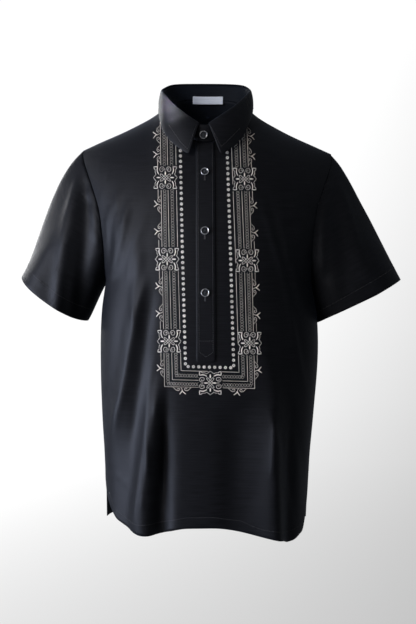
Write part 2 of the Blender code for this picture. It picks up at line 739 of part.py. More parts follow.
def make_label(name, finish):
    """A blank label inside the back of the neck, across the seam of the stand."""
    outer, inner = [], []
    for height in (LABEL_BOTTOM, (LABEL_BOTTOM + LABEL_TOP) / 2, LABEL_TOP):
        outer.append([])
        inner.append([])
        for step in range(-4, 5):
            x = LABEL_HALF * step / 4
            seam = neck_point(BACK, x)
            outward = Vector((seam.x, seam.y, 0)).normalized()
            base = Vector((seam.x, seam.y, height)) - outward * (STAND_CLOTH + 3 * SEAM_GAP)
            outer[-1].append(base)
            inner[-1].append(base - outward * LABEL_CLOTH)
    return cloth_wall(name, outer, inner, finish)


def make_button(name, seat, normal, finish):
    """A turned button with a raised rim, its back just clear of what it is sewn to."""
    r, h = BUTTON_RADIUS, BUTTON_HEIGHT
    profile = (
        (0.0, 0.0), (r * 0.80, 0.0), (r, h * 0.45), (r * 0.97, h * 0.85), (r * 0.86, h),
        (r * 0.74, h - BUTTON_DISH), (r * 0.40, h - BUTTON_DISH * 0.4), (0.0, h - BUTTON_DISH * 0.4),
    )
    bm = bmesh.new()
    verts = [bm.verts.new((x, 0.0, z)) for x, z in profile]
    edges = [bm.edges.new(pair) for pair in zip(verts, verts[1:])]
    bmesh.ops.spin(bm, geom=verts + edges, cent=(0, 0, 0), axis=(0, 0, 1), angle=2 * pi,
                   steps=BUTTON_SIDES, use_merge=True)
    bmesh.ops.remove_doubles(bm, verts=bm.verts, dist=SAME_POINT)
    turn = normal.to_track_quat("Z", "Y")
    for vert in bm.verts:
        vert.co = seat + turn @ vert.co
    return add_object(name, bm, finish)


def button_seat(height):
    """Where a button's back rests on the upper band, and the way it faces."""
    levels = [1 + index / SEAT_STEPS for index in range(1, SEAT_STEPS)]
    levels.append((height - HEM) / (YOKE - HEM))
    level = min(levels, key=lambda value: abs(body(FRONT, 0.0, value).z - height))
    share = share_at(FRONT, BUTTON_SHIFT, level)
    normal = body_normal(FRONT, share, level)
    return body(FRONT, share, level) + normal * (2 * SEAM_GAP + CLOTH), normal


def stand_button_seat(height):
    """Where the top button's back rests on the over end of the stand."""
    radius, fold_height = fold_at(0.0, NECK_FRONT_DEPTH)
    seam = neck_point(FRONT, 0.0)
    share = (height - seam.z) / (fold_height - STAND_DROP_FROM_FOLD - seam.z)
    depth = NECK_FRONT_DEPTH + (radius - STAND_INSIDE_FOLD - NECK_FRONT_DEPTH) * share
    lean = Vector((0, -(fold_height - STAND_DROP_FROM_FOLD - seam.z),
                   -(radius - STAND_INSIDE_FOLD - NECK_FRONT_DEPTH))).normalized()
    out = depth + STAND_OVERLAP_STEP / 2 + 2 * SEAM_GAP
    return Vector((BUTTON_SHIFT, -out, height)), lean


def make_buttons(finish):
    for index, height in enumerate(BUTTON_HEIGHTS):
        seat, normal = stand_button_seat(height) if index == 0 else button_seat(height)
        make_button(f"button_{index + 1}", settle(seat), normal, finish)


def make_shirt():
    for old in list(bpy.data.objects):
        bpy.data.objects.remove(old)
    cloth = material("black_cloth", BLACK_CLOTH, 0.62)
    inside = material("inside_cloth", INSIDE_CLOTH, 0.7)
    blank = material("label_cloth", LABEL_COLOUR, 0.6)
    shell = material("button_shell", BUTTON_COLOUR, 0.18)
    make_panel("front", FRONT, cloth)
    make_panel("back", BACK, cloth)
    for cuff in CUFFS:
        make_sleeve(cuff, cloth)
    make_band("placket_upper", BAND_HALF, BAND_BOTTOM, BAND_POINT, SEAM_GAP, cloth)
    make_band("placket_under", UNDER_BAND_HALF, UNDER_BAND_BOTTOM, 0.0,
              -2 * CLOTH - SEAM_GAP, inside)
    make_stand("collar_stand", cloth)
    make_leaf("collar_leaf", cloth)
    make_label("neck_label", blank)
    make_buttons(shell)


make_shirt()
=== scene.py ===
# %% [markdown]
# # A black barong tagalog with pale thread work
#
# The imported CAD model gives the size and the place of every piece of this shirt. This lesson
# dresses it: soft cloth with creases, embroidery laid thread by thread, stitches and buttons.
#
# We start by loading the CAD pieces. They stay where they are, and everything new is fitted to
# them.

from collections import namedtuple
from math import atan2, cos, pi, radians, sin

import bmesh
import bpy
import numpy as np
from mathutils import Matrix, Vector
from mathutils.bvhtree import BVHTree
from mathutils.kdtree import KDTree


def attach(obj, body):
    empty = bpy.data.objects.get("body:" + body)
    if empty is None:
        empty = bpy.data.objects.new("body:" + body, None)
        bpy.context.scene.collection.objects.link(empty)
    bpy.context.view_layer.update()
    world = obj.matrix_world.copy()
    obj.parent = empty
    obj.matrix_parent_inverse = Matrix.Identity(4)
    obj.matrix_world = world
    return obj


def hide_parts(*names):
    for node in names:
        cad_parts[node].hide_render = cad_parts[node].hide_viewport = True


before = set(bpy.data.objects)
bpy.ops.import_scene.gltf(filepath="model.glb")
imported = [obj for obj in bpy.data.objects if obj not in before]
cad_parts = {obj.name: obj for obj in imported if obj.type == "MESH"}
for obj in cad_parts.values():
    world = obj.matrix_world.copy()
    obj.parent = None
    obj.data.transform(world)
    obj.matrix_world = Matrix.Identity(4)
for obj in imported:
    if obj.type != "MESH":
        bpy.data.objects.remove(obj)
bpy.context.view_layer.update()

# %% [markdown]
# ## The camera and a squared chart
#
# The shirt hangs straight in front of the camera, which is level and a little over a metre and
# a half away. An embroiderer charts a pattern on squared paper, and we do the same: one square
# is 1.75 mm on the shirt's middle plane, counted from the left and from the top of the view.
# A place on the chart is carried to the cloth along the line of sight, so it lands on whatever
# fold is there.

# %% Camera and chart
EYE = Vector((0.0, -1.6, -0.348))
SQUARE = 0.00175
CHART_COLUMNS, CHART_ROWS = 416, 624
FILM = 36.0


def rows_of(kind, *rows):
    """A table: rows of values with the column names of a kind."""
    return [kind(*row) for row in rows]


def new_object(name, data):
    made = bpy.data.objects.new(name, data)
    bpy.context.scene.collection.objects.link(made)
    return made


camera_data = bpy.data.cameras.new("camera")
camera_data.sensor_width = FILM
camera_data.lens = FILM * -EYE.y / (CHART_ROWS * SQUARE)
camera = new_object("camera", camera_data)
camera.location = EYE
camera.rotation_euler = (pi / 2, 0, 0)
bpy.context.scene.camera = camera


def chart_place(column, row):
    """A place of the chart, on the shirt's middle plane."""
    x = (column - CHART_COLUMNS / 2) * SQUARE
    return Vector((x, 0.0, EYE.z + (CHART_ROWS / 2 - row) * SQUARE))


def chart_of(points):
    """Columns and rows of the chart at which points of the cloth are seen."""
    away = (points[:, 1] - EYE.y) / -EYE.y
    columns = points[:, 0] / away / SQUARE + CHART_COLUMNS / 2
    rows = CHART_ROWS / 2 - (points[:, 2] - EYE.z) / away / SQUARE
    return np.stack([columns, rows], axis=1)


print("lens:", round(camera_data.lens, 1), "mm")

# %% [markdown]
# ## Cloth material
#
# The shirt is a fine black cloth. Up close it is a plain weave: warp and weft cross about every
# half millimetre. From a step away only its sheen is seen, a cool grey where light grazes a
# fold. We build the weave from two crossed waves on the cloth's own grain map, break it with
# slubs, which are yarns of uneven thickness, and let the sheen come from the shader's own
# sheen layer. Blender's wave repeats every WAVE_PERIOD units at a scale of 1.

# %% Cloth material
YARN = 0.00045
WEAVE_DEPTH, WEAVE_STRENGTH = 0.00012, 0.35
SLUB_SCALE, SLUB_STRETCH, SLUB_RELIEF = 700.0, (0.035, 1.0, 1.0), 1.6
WAVE_PERIOD = 2 * pi / 20
TONE_STOPS = (0.4, 0.6)


def fill(node, values):
    """Set constants directly on a node's sockets, and link outputs of other nodes to them."""
    for socket, value in values.items():
        if isinstance(value, bpy.types.NodeSocket):
            node.id_data.links.new(value, node.inputs[socket])
        else:
            node.inputs[socket].default_value = value


def add_node(tree, kind, values, **settings):
    node = tree.nodes.new("ShaderNode" + kind)
    for name, setting in settings.items():
        setattr(node, name, setting)
    fill(node, values)
    return node


def maths(tree, operation, *operands):
    return add_node(tree, "Math", dict(enumerate(operands)), operation=operation).outputs[0]


def object_place(tree):
    return add_node(tree, "TexCoord", {}).outputs["Object"]


def weave_height(tree, place):
    """The height of a plain weave: two crossed waves multiplied together."""
    waves = [add_node(tree, "TexWave", {"Vector": place, "Scale": WAVE_PERIOD / YARN,
                                        "Distortion": 0.6, "Detail": 1.0},
                      bands_direction=direction) for direction in ("X", "Y")]
    return maths(tree, "MULTIPLY", *(wave.outputs["Fac"] for wave in waves))


def slubs(tree, place, scale, stretch=(1.0, 1.0, 1.0)):
    """Soft uneven streaks, drawn out in a direction whose stretch is under 1."""
    mapping = add_node(tree, "Mapping", {"Vector": place, "Scale": stretch})
    noise = add_node(tree, "TexNoise", {"Vector": mapping.outputs["Vector"], "Scale": scale,
                                        "Detail": 3.0})
    return noise.outputs["Fac"]


def ranged(tree, value, low, high):
    """A value from 0 to 1, brought into another range."""
    scaled = add_node(tree, "MapRange", {"Value": value, "To Min": low, "To Max": high})
    return scaled.outputs["Result"]


def two_tones(tree, value, dark, light):
    ramp = add_node(tree, "ValToRGB", {"Fac": value})
    for element, stop, tone in zip(ramp.color_ramp.elements, TONE_STOPS, (dark, light)):
        element.position = stop
        element.color = (*tone, 1)
    return ramp.outputs["Color"]


def bump(tree, height, strength, distance):
    made = add_node(tree, "Bump", {"Height": height, "Strength": strength, "Distance": distance})
    return made.outputs["Normal"]


def new_material(name):
    made = bpy.data.materials.new(name)
    made.use_nodes = True
    return made, made.node_tree, made.node_tree.nodes["Principled BSDF"]


def cloth_material(name, dark, light, roughness, sheen, tint):
    made, tree, shader = new_material(name)
    grain = add_node(tree, "UVMap", {}, uv_map="grain").outputs["UV"]
    streaks = slubs(tree, grain, SLUB_SCALE, SLUB_STRETCH)
    relief = maths(tree, "MULTIPLY_ADD", streaks, SLUB_RELIEF, weave_height(tree, grain))
    fill(shader, {"Base Color": two_tones(tree, streaks, dark, light),
                  "Roughness": ranged(tree, streaks, *roughness),
                  "Normal": bump(tree, relief, WEAVE_STRENGTH, WEAVE_DEPTH),
                  "Specular IOR Level": 0.17, "Specular Tint": (0.84, 0.90, 1.0, 1),
                  "Sheen Weight": sheen, "Sheen Roughness": 0.42, "Sheen Tint": (*tint, 1)})
    return made


outside = cloth_material("black_cloth_face", (0.0026, 0.0027, 0.0034), (0.0056, 0.0058, 0.0072),
                         (0.42, 0.60), 0.05, (0.50, 0.68, 1.0))
# The wrong side is duller, and its bluer tone is painted shade for the dim inside of the shirt.
inside = cloth_material("black_cloth_wrong_side_shade_tinted", (0.002, 0.0035, 0.007), (0.004, 0.0065, 0.012),
                        (0.62, 0.75), 0.02, (0.50, 0.70, 1.0))
label = cloth_material("blank_label_cloth", (0.62, 0.70, 0.84), (0.74, 0.82, 0.95),
                       (0.50, 0.60), 0.10, (0.80, 0.90, 1.0))
print("cloth materials:", outside.name, inside.name, label.name)

# %% [markdown]
# ## From CAD wall to soft cloth
#
# A CAD panel is a thin closed wall with rather large facets. Cloth has none, so each panel is
# copied, its doubled points are merged and its triangles joined back to quads, and it is
# subdivided smooth. The rim of the wall keeps a full edge crease, because smoothing would pull
# it away from its seam. The collar's and the placket's edges are free, so they may round off.
#
# Real cloth also has a grain. We lay a flat map called grain round each piece, measured in
# metres, so that the weave keeps its size everywhere.

# %% Shells
SAME_POINT = 1e-5
RIM_ANGLE = radians(52)
JOIN_ANGLE = radians(70)

UP, BODY, NECK = (0, 0, 1), (0, 0, -0.35), (0, 0, 0.01)
Piece = namedtuple("Piece", "node centre axis radius rim")
PIECES = [Piece(node, Vector(centre), Vector(axis).normalized(), radius, rim)
          for node, centre, axis, radius, rim in (
    ("front", BODY, UP, 0.15, 1.0),
    ("back", BODY, UP, 0.15, 1.0),
    ("sleeve_left", (0.19, 0, -0.19), (-0.50, 0, 0.87), 0.075, 1.0),
    ("sleeve_right", (-0.19, 0, -0.19), (0.50, 0, 0.87), 0.075, 1.0),
    ("collar_stand", NECK, UP, 0.075, 0.7),
    ("collar_leaf", NECK, UP, 0.080, 0.35),
    ("placket_upper", BODY, UP, 0.13, 0.75),
    ("placket_under", BODY, UP, 0.13, 0.7),
    ("neck_label", NECK, UP, 0.060, 0.8),
)]


def merged_copy(piece):
    """A clean quad copy of a CAD node's mesh, and the places of its rim."""
    bm = bmesh.new()
    bm.from_mesh(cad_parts[piece.node].data)
    bmesh.ops.remove_doubles(bm, verts=bm.verts, dist=SAME_POINT)
    bmesh.ops.join_triangles(bm, faces=bm.faces, angle_face_threshold=JOIN_ANGLE,
                             angle_shape_threshold=JOIN_ANGLE)
    crease = bm.edges.layers.float.new("crease_edge")
    rim = []
    for edge in bm.edges:
        if len(edge.link_faces) == 2 and edge.calc_face_angle() > RIM_ANGLE:
            edge[crease] = piece.rim
            rim.append(edge.verts[0].co.copy())
    return bm, rim


def settled(name, bm, levels=0):
    """Make a mesh object of a bmesh, with any subdivision already applied."""
    mesh = bpy.data.meshes.new(name)
    bm.to_mesh(mesh)
    bm.free()
    made = new_object(name, mesh)
    if levels:
        smooth = made.modifiers.new("smooth", "SUBSURF")
        smooth.levels = levels
        smooth.render_levels = levels
        seen = bpy.context.evaluated_depsgraph_get()
        finished = bpy.data.meshes.new_from_object(made.evaluated_get(seen))
        made.modifiers.clear()
        made.data = finished
    return made


def positions(mesh):
    points = np.empty(len(mesh.vertices) * 3)
    mesh.vertices.foreach_get("co", points)
    return points.reshape(-1, 3)


def move_to(mesh, points):
    mesh.vertices.foreach_set("co", points.ravel())
    mesh.update()


def shade_smooth(mesh):
    mesh.polygons.foreach_set("use_smooth", np.ones(len(mesh.polygons), dtype=bool))


def lay_grain(mesh, piece):
    """A map in metres: round the piece's axis, and along it."""
    side = Vector((0, 1, 0)) if piece.node != "back" else Vector((0, -1, 0))
    across = piece.axis.cross(side).normalized()
    grain = mesh.uv_layers.new(name="grain")
    for face in mesh.polygons:
        turns = []
        for index in face.vertices:
            away = mesh.vertices[index].co - piece.centre
            turns.append((atan2(away.dot(across), -away.dot(side)), away.dot(piece.axis)))
        wrap = max(turns)[0] - min(turns)[0] > pi
        for loop, (turn, along) in zip(face.loop_indices, turns):
            turn += 2 * pi if wrap and turn < 0 else 0
            grain.data[loop].uv = (turn * piece.radius, along)


shells, rims = {}, {}
for piece in PIECES:
    copied, rims[piece.node] = merged_copy(piece)
    shell = settled(piece.node + "_shell", copied, levels=2)
    lay_grain(shell.data, piece)
    shells[piece.node] = shell
    print(shell.name, len(shell.data.polygons), "faces")

# %% [markdown]
# ## Creases
#
# The large folds are already in the CAD panels. What makes the cloth look worn are the finer
# creases between them: ridges that fan out from the shoulder point of each sleeve, drags that
# run from the armhole down the chest, long soft ridges to the hem and a wide hollow under the
# placket. Each crease is a row in a table: how wide it is in squares, how far it lifts the
# cloth in millimetres, and the places it passes. A negative lift is a valley. A crease fades at
# both ends, so the path of one that reaches a hem or a cuff runs on past it. No two are alike
# in length, depth or spacing, and the hidden back gets creases of the same kinds.

# %% Crease tables
Crease = namedtuple("Crease", "wide lift path")


def creases(*rows):
    return rows_of(Crease, *rows)


FRONT_CREASES = creases(
    (4.2, 2.6, ((148, 262), (145, 280), (137, 315), (130, 352), (123, 390), (115, 422),
     (112, 458))),
    (5.5, -2.6, ((155, 275), (148, 320), (143, 352), (137, 392), (134, 425), (131, 456))),
    (2.6, 1.6, ((160, 335), (157, 352), (150, 378), (146.5, 415), (142.5, 452), (137.5, 490),
     (132, 530), (130, 560))),
    (3.0, 0.9, ((150, 448), (146, 470), (140, 502))),
    (2.2, 0.9, ((112, 172), (106, 182), (101, 196), (102, 214))),
    (2.4, 1.2, ((128, 188), (118, 198), (110, 212), (106, 226), (107, 242))),
    (2.6, -0.8, ((132, 192), (121, 204), (114, 218), (110, 240), (108, 262))),
    (3.0, 1.6, ((150, 182), (138, 196), (128, 210), (121, 224), (116, 246), (111, 272),
     (107, 300))),
    (3.0, -0.8, ((146, 198), (134, 214), (127, 230), (121, 254), (116, 286))),
    (3.4, 1.2, ((154, 210), (144, 224), (136, 240), (130, 262), (126, 290))),
    (6.0, 1.2, ((112, 396), (109, 430), (110, 472))),
    (1.3, 0.8, ((108, 471), (118, 476), (131, 488))),
    (1.6, -0.6, ((104, 391), (112, 393), (120, 393))),
    (14.0, -3.4, ((232, 392), (234, 440), (233, 490), (230, 560), (228, 620))),
    (3.4, 1.6, ((257, 187), (272, 237), (285, 285), (292, 325), (300, 367), (310, 408))),
    (3.4, -1.0, ((264, 190), (280, 240), (292, 288), (299, 330), (307, 372))),
    (3.0, 1.4, ((288, 192), (302, 218), (311, 237), (318, 258))),
    (2.6, 1.2, ((306, 176), (311, 200), (315, 230))),
    (3.0, 1.4, ((266, 400), (278, 442), (287, 492), (294, 540))),
    (4.0, -0.9, ((284, 380), (296, 430), (304, 470), (305, 520))),
)
FRONT_DRIFTS = creases(
    (20.0, 16.0, ((162, 320), (149, 380), (143, 440), (136, 500), (131, 560), (128, 620))),
    (22.0, 18.0, ((252, 340), (257, 390), (260, 440), (262, 500), (262, 560), (262, 620))),
)
BACK_CREASES = creases(
    (5.5, 2.8, ((286, 220), (296, 262), (304, 316), (300, 380))),
    (4.0, -1.6, ((276, 236), (288, 290), (294, 350))),
    (5.5, 2.4, ((132, 214), (121, 262), (112, 318), (116, 372))),
    (4.0, -1.4, ((142, 240), (130, 292), (124, 344))),
    (7.0, 2.6, ((190, 300), (182, 380), (168, 460), (164, 530))),
    (6.0, -2.0, ((204, 330), (202, 410), (196, 530))),
    (6.5, 2.8, ((238, 290), (247, 370), (256, 450), (262, 530))),
    (4.6, 1.6, ((220, 350), (226, 430), (224, 525))),
    (2.0, 0.9, ((286, 470), (274, 478), (262, 480))),
    (3.0, 1.6, ((312, 190), (309, 214), (310, 240))),
    (3.0, 1.6, ((104, 190), (107, 212), (104, 238))),
)
SLEEVE_CREASES = {
    "sleeve_right": creases(
        (5.5, 6.5, ((83, 150), (79, 178), (72, 207), (66, 236), (62, 262), (58, 292), (54, 340))),
        (8.0, -7.5, ((84, 150), (85, 180), (86, 210), (85, 240), (83, 270), (81, 340))),
        (2.6, 3.6, ((84, 150), (88, 180), (92, 205), (96, 230), (99, 250), (102, 275))),
        (9.0, -1.2, ((64, 172), (46, 212), (32, 250), (26, 275))),
        (1.8, 0.8, ((26, 268), (36, 276), (44, 290))),
    ),
    "sleeve_left": creases(
        (3.6, 2.8, ((335, 170), (346, 202), (356, 236), (366, 270), (373, 296))),
        (5.6, -2.6, ((333, 184), (339, 222), (347, 262), (352, 308))),
        (2.6, 2.4, ((333, 160), (328, 190), (325, 222), (325, 256), (328, 290))),
        (8.0, -3.2, ((350, 172), (368, 212), (384, 250))),
        (1.8, 0.8, ((392, 264), (382, 274), (376, 288))),
    ),
}
Lean = namedtuple("Lean", "node from_along to_along inner outer shift sink")
SLEEVE_LEANS = rows_of(
    Lean,
    ("sleeve_left", 0.03, -0.02, 0.215, 0.285, -0.003, 0.0011),
    ("sleeve_left", -0.03, -0.14, 0.215, 0.285, -0.010, 0.0),
)
MILLIMETRE = 0.001
CREASE_ENDS = 0.22
print("creases:", len(FRONT_CREASES), "front,", len(BACK_CREASES), "back")

# %% [markdown]
# A crease lifts the cloth most along its path and falls away to both sides like a soft bell. It
# also grows in and dies out along its length. The same lift moves both faces of the wall, so
# the cloth keeps its thickness, and near a sewn seam it fades out, so that seams stay closed.
# Seams are found as sharp rims of a panel. A hem, a cuff and the steep folds below the chest
# are sharp too, but nothing is sewn there, so they are left out.
#
# Before that, the two deepest folds low on the front drift sideways by a table of the same
# kind, so that one flank of each is steep and the other long. The sleeve on the wearer's left
# leans in against the body, as a real one does.

# %% Press the creases in


def smooth_path(path, steps=6):
    """More points along a path, on a curve through the given ones."""
    points = [np.array(place, float) for place in path]
    points = [2 * points[0] - points[1], *points, 2 * points[-1] - points[-2]]
    fine = []
    for a, b, c, d in zip(points, points[1:], points[2:], points[3:]):
        for step in range(steps):
            t = step / steps
            fine.append(0.5 * (2 * b + (c - a) * t + (2 * a - 5 * b + 4 * c - d) * t ** 2
                               + (3 * b - a - 3 * c + d) * t ** 3))
    return np.array(fine + [points[-2]])


def walked_along(places):
    """How far along a path each of its places lies."""
    return np.concatenate([[0], np.cumsum(np.linalg.norm(np.diff(places, axis=0), axis=1))])


def eased(share):
    """A share from 0 to 1 with a soft start and a soft end."""
    return share * share * (3 - 2 * share)


def crease_lift(squares, table):
    """How far a set of creases lifts the cloth at places of the chart, in metres."""
    lift = np.zeros(len(squares))
    for crease in table:
        path = smooth_path(crease.path)
        starts, runs = path[:-1], np.diff(path, axis=0)
        lengths = np.linalg.norm(runs, axis=1)
        nearest = np.full(len(squares), np.inf)
        along = np.zeros(len(squares))
        for start, run, length, passed in zip(starts, runs, lengths, walked_along(path)):
            t = np.clip(((squares - start) @ run) / length ** 2, 0, 1)
            away = np.linalg.norm(squares - start - t[:, None] * run, axis=1)
            closer = away < nearest
            nearest[closer] = away[closer]
            along[closer] = passed + t[closer] * length
        share = along / lengths.sum()
        ends = eased(np.clip(np.minimum(share, 1 - share) / CREASE_ENDS, 0, 1))
        lift += crease.lift * MILLIMETRE * ends * np.exp(-(nearest / crease.wide) ** 2)
    return lift


SEAM_EASE, SEAM_STILL = 0.022, 0.15
HEM_TOP = -0.60
CHEST_LOW, SLIT_SIDE, SIDE_FROM = -0.22, 0.03, 0.15
CUFF_ALONG = -0.11
FACING_GAIN = 1.6
BODY_HALF_WIDTH, BODY_HALF_DEPTH = 0.19, 0.125


def at_hem(piece, place):
    """True at a sharp place that isn't sewn: a cuff, a hem or a steep fold below the chest."""
    if "sleeve" in piece.node:
        return (place - piece.centre).dot(piece.axis) < CUFF_ALONG
    between_seams = SLIT_SIDE < abs(place.x) < SIDE_FROM
    return place.z < HEM_TOP or (place.z < CHEST_LOW and between_seams)


def seam_hold(piece, points):
    """0 on a sewn seam, rising to 1 a little way off it."""
    seam = [place for place in rims[piece.node] if not at_hem(piece, place)]
    tree = KDTree(len(seam))
    for index, place in enumerate(seam):
        tree.insert(place, index)
    tree.balance()
    share = np.array([tree.find(point)[2] for point in points]) / SEAM_EASE
    return eased(np.clip(share - SEAM_STILL, 0, 1))


def press(piece, table, outward, facing):
    """Lift a shell along its creases, where it faces the given way."""
    mesh = shells[piece.node].data
    points = positions(mesh)
    away = outward(points)
    away /= np.linalg.norm(away, axis=1)[:, None]
    weight = np.clip(facing * away[:, 1] * FACING_GAIN, 0, 1) * seam_hold(piece, points)
    lift = crease_lift(chart_of(points), table) * weight
    move_to(mesh, points + away * lift[:, None])
    return lift


def drift(piece, drifts):
    """Carry the large folds of a shell sideways, towards the wearer's left."""
    mesh = shells[piece.node].data
    points = positions(mesh)
    points[:, 0] += crease_lift(chart_of(points), drifts) * seam_hold(piece, points)
    move_to(mesh, points)


def from_body(points):
    """Outward from the oval of the body."""
    return points * np.array([1 / BODY_HALF_WIDTH ** 2, 1 / BODY_HALF_DEPTH ** 2, 0.0])


def from_arm(piece):
    """Outward from the middle line of a sleeve."""
    axis = np.array(piece.axis)

    def outward(points):
        away = points - np.array(piece.centre)
        return away - (away @ axis)[:, None] * axis

    return outward


def lean_sleeve(piece, lean):
    """Let the lower inner part of a sleeve fall against the body, and tuck in its seam."""
    mesh = shells[piece.node].data
    points = positions(mesh)
    away = from_arm(piece)(points)
    along = (points - np.array(piece.centre)) @ np.array(piece.axis)
    low = np.clip((along - lean.from_along) / (lean.to_along - lean.from_along), 0, 1)
    near = np.clip((lean.outer - abs(points[:, 0])) / (lean.outer - lean.inner), 0, 1)
    points[:, 0] += lean.shift * eased(low) * near
    away /= np.linalg.norm(away, axis=1)[:, None]
    not_under = np.clip(1 + 2 * away[:, 2], 0, 1)
    tuck = lean.sink * (1 - seam_hold(piece, points)) * not_under
    move_to(mesh, points - away * tuck[:, None])


BODY_CREASES = {"front": (FRONT_CREASES, -1), "back": (BACK_CREASES, 1)}
for piece in PIECES:
    if piece.node == "front":
        drift(piece, FRONT_DRIFTS)
    if piece.node in BODY_CREASES:
        table, facing = BODY_CREASES[piece.node]
        lift = press(piece, table, from_body, facing) / MILLIMETRE
        print(piece.node, "lifted", round(lift.min(), 1), "to", round(lift.max(), 1), "mm")
    if piece.node in SLEEVE_CREASES:
        for facing in (-1, 1):
            press(piece, SLEEVE_CREASES[piece.node], from_arm(piece), facing)
    for lean in SLEEVE_LEANS:
        if lean.node == piece.node:
            lean_sleeve(piece, lean)

# %% [markdown]
# ## Dress the pieces
#
# Every shell takes the place of its CAD node and moves with the shirt's one body. The face that
# looks into the shirt gets the duller wrong side of the cloth, whose bluer tone is painted
# shade, the colour of the dim inside of the shirt.

# %% Hand the shells over
Cut = namedtuple("Cut", "node width length area slot held")
CUTS = rows_of(
    Cut,
    ("front", 0.56, 0.74, 0.33, "black_cloth", "hung"),
    ("back", 0.54, 0.76, 0.35, "black_cloth", "hung"),
    ("sleeve_left", 0.43, 0.24, 0.076, "black_cloth", "hung"),
    ("sleeve_right", 0.43, 0.24, 0.076, "black_cloth", "hung"),
    ("collar_stand", 0.50, 0.036, 0.0155, "black_cloth", "folded"),
    ("collar_leaf", 0.50, 0.075, 0.028, "black_cloth", "folded"),
    ("placket_upper", 0.0315, 0.375, None, "black_cloth", "stretched"),
    ("placket_under", 0.030, 0.365, None, "inside_cloth", "stretched"),
    ("neck_label", 0.057, 0.014, None, "label_cloth", "stretched"),
)


def give_sides(shell, outward, face, wrong):
    """The outer faces of a wall get one finish and the inner faces the other."""
    mesh = shell.data
    mesh.materials.append(face)
    mesh.materials.append(wrong)
    centres = np.array([tuple(item.center) for item in mesh.polygons])
    normals = np.array([tuple(item.normal) for item in mesh.polygons])
    inner = (normals * outward(centres)).sum(axis=1) < 0
    mesh.polygons.foreach_set("material_index", inner.astype(np.int32))
    shade_smooth(mesh)
    mesh.update()


def hand_over(made, slot, *nodes):
    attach(made, "root")
    if nodes:
        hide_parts(*nodes)
    return made


outward_of = {piece.node: from_arm(piece) if "sleeve" in piece.node else from_body
              for piece in PIECES}
for cut in CUTS:
    shell = hand_over(shells[cut.node], cut.slot, cut.node)
    # Inner faces take the wrong-side cloth, whose bluer tone is painted shade.
    finishes = (label, label) if cut.node == "neck_label" else (outside, inside)
    give_sides(shell, outward_of[cut.node], *finishes)
print("sheets:", len(CUTS))

# %% [markdown]
# ## Thread
#
# The ornament is machine embroidery in three pale threads: champagne for the satin lines and
# the sprays, a brighter silver for the rosettes and medallions, and a dull one for the chains.
# Satin stitch lies flat, so a thread is made in two steps. First every stroke is drawn as a
# round tube, a curve with a bevel, along the cloth. Then the tubes are pressed: each point's
# height above the cloth is cut to a share of what it was. That gives the flat, slightly domed
# look of real stitches and costs few faces.

# %% Thread material
THREAD_FLATNESS = 0.55
STITCH_PITCH, STITCH_SLANT, STITCH_RELIEF = 0.0007, radians(35), 0.0002


def thread_material(name, colour, deep, roughness):
    made, tree, shader = new_material(name)
    place = object_place(tree)
    turned = add_node(tree, "Mapping", {"Vector": place, "Rotation": (0, STITCH_SLANT, 0)})
    wave = add_node(tree, "TexWave", {"Vector": turned.outputs["Vector"], "Distortion": 1.2,
                                      "Scale": WAVE_PERIOD / STITCH_PITCH})
    fill(shader, {"Base Color": two_tones(tree, slubs(tree, place, 90.0), deep, colour),
                  "Normal": bump(tree, wave.outputs["Fac"], 0.5, STITCH_RELIEF),
                  "Roughness": roughness, "Sheen Weight": 0.2})
    return made


champagne = thread_material("champagne_thread", (0.90, 0.84, 0.75), (0.68, 0.63, 0.56), 0.40)
silver = thread_material("silver_thread", (1.0, 0.96, 0.89), (0.74, 0.71, 0.66), 0.36)
dull = thread_material("dull_thread", (0.62, 0.59, 0.54), (0.44, 0.42, 0.38), 0.50)
black_thread = thread_material("black_thread", (0.011, 0.012, 0.015), (0.006, 0.006, 0.008), 0.45)

# %% Lay strokes on the cloth
Stroke = namedtuple("Stroke", "points half_width")


def surface_of(shell):
    """A search tree over a shell, to find the cloth under a place."""
    mesh = shell.data
    return BVHTree.FromPolygons([vert.co.copy() for vert in mesh.vertices],
                                [tuple(face.vertices) for face in mesh.polygons])


def on_cloth(tree, column, row):
    """Where the line of sight through a place of the chart meets the cloth."""
    ray = chart_place(column, row) - EYE
    return tree.ray_cast(EYE, ray.normalized())[0]


def tubes(name, strokes, finish):
    """Round tubes along lists of points in space, as one mesh."""
    curve = bpy.data.curves.new(name, "CURVE")
    curve.dimensions = "3D"
    curve.bevel_depth = 1.0
    curve.bevel_resolution = 0
    curve.use_fill_caps = True
    for stroke in strokes:
        spline = curve.splines.new("POLY")
        spline.points.add(len(stroke.points) - 1)
        for point, (place, share) in zip(spline.points, stroke.points):
            point.co = (*place, 1.0)
            point.radius = stroke.half_width * share
    drawn = new_object(name + "_drawn", curve)
    seen = bpy.context.evaluated_depsgraph_get()
    mesh = bpy.data.meshes.new_from_object(drawn.evaluated_get(seen))
    bpy.data.objects.remove(drawn)
    mesh.materials.append(finish)
    shade_smooth(mesh)
    return new_object(name, mesh)


def press_flat(made, tree):
    """Cut the height of every point above the cloth to a share of it."""
    for vert in made.data.vertices:
        place, normal, _, _ = tree.find_nearest(vert.co)
        height = (vert.co - place).dot(normal)
        vert.co -= normal * height * (1 - THREAD_FLATNESS)
    made.data.update()


def embroider(name, charted, tree, finish):
    """Charted strokes, laid on the cloth as pressed thread."""
    strokes = []
    for stroke in charted:
        laid = [(on_cloth(tree, column, row), share) for (column, row), share in stroke.points]
        strokes.append(Stroke([item for item in laid if item[0]], stroke.half_width))
    made = tubes(name, [stroke for stroke in strokes if len(stroke.points) > 1], finish)
    press_flat(made, tree)
    print(name, len(strokes), "strokes,", len(made.data.polygons), "faces")
    hand_over(made, "black_cloth")


front_cloth = surface_of(shells["front"])

